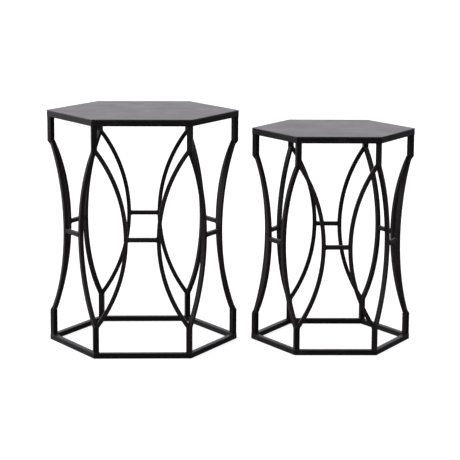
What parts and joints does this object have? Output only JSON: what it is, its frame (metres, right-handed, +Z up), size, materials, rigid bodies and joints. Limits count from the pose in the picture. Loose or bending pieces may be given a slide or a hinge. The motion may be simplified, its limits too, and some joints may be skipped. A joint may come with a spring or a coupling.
{
  "type": "nesting side tables",
  "caption": "Pair of hexagonal black iron side tables, a large and a smaller one: flat sheet tops on open cage frames of curved square bars with mid-height crossbars and a ring base.",
  "frame": {"origin": "on the floor, under the middle of the box around both tables", "axes": "+X from the large table towards the small one, +Y to the back, +Z up"},
  "size_m": [0.8804, 0.4054, 0.56],
  "materials": {
    "frame_iron": "satin black paint with a faint hammered grain",
    "top_iron": "satin black paint, smooth, with faint streaks"
  },
  "bodies": {
    "large_table": {"large_top_sheet": "top_iron", "large_top_rail": "frame_iron", "large_base_frame": "frame_iron", "large_upper_post_1": "frame_iron", "large_upper_post_2": "frame_iron", "large_upper_post_3": "frame_iron", "large_upper_post_4": "frame_iron", "large_upper_post_5": "frame_iron", "large_upper_post_6": "frame_iron", "large_curved_bar_1_right": "frame_iron", "large_curved_bar_1_left": "frame_iron", "large_curved_bar_2_right": "frame_iron", "large_curved_bar_2_left": "frame_iron", "large_curved_bar_3_right": "frame_iron", "large_curved_bar_3_left": "frame_iron", "large_curved_bar_4_right": "frame_iron", "large_curved_bar_4_left": "frame_iron", "large_curved_bar_5_right": "frame_iron", "large_curved_bar_5_left": "frame_iron", "large_curved_bar_6_right": "frame_iron", "large_curved_bar_6_left": "frame_iron", "large_crossbar_1": "frame_iron", "large_crossbar_2": "frame_iron", "large_crossbar_3": "frame_iron", "large_crossbar_4": "frame_iron", "large_crossbar_5": "frame_iron", "large_crossbar_6": "frame_iron"},
    "small_table": {"small_top_sheet": "top_iron", "small_top_rail": "frame_iron", "small_base_frame": "frame_iron", "small_upper_post_1": "frame_iron", "small_upper_post_2": "frame_iron", "small_upper_post_3": "frame_iron", "small_upper_post_4": "frame_iron", "small_upper_post_5": "frame_iron", "small_upper_post_6": "frame_iron", "small_curved_bar_1_right": "frame_iron", "small_curved_bar_1_left": "frame_iron", "small_curved_bar_2_right": "frame_iron", "small_curved_bar_2_left": "frame_iron", "small_curved_bar_3_right": "frame_iron", "small_curved_bar_3_left": "frame_iron", "small_curved_bar_4_right": "frame_iron", "small_curved_bar_4_left": "frame_iron", "small_curved_bar_5_right": "frame_iron", "small_curved_bar_5_left": "frame_iron", "small_curved_bar_6_right": "frame_iron", "small_curved_bar_6_left": "frame_iron", "small_crossbar_1": "frame_iron", "small_crossbar_2": "frame_iron", "small_crossbar_3": "frame_iron", "small_crossbar_4": "frame_iron", "small_crossbar_5": "frame_iron", "small_crossbar_6": "frame_iron"}
  },
  "joints": [
    {"name": "small_table_slide", "type": "slide", "parent": "large_table", "child": "small_table", "axis": [1, 0, 0], "range_m": [-0.025, 0.4]}
  ]
}
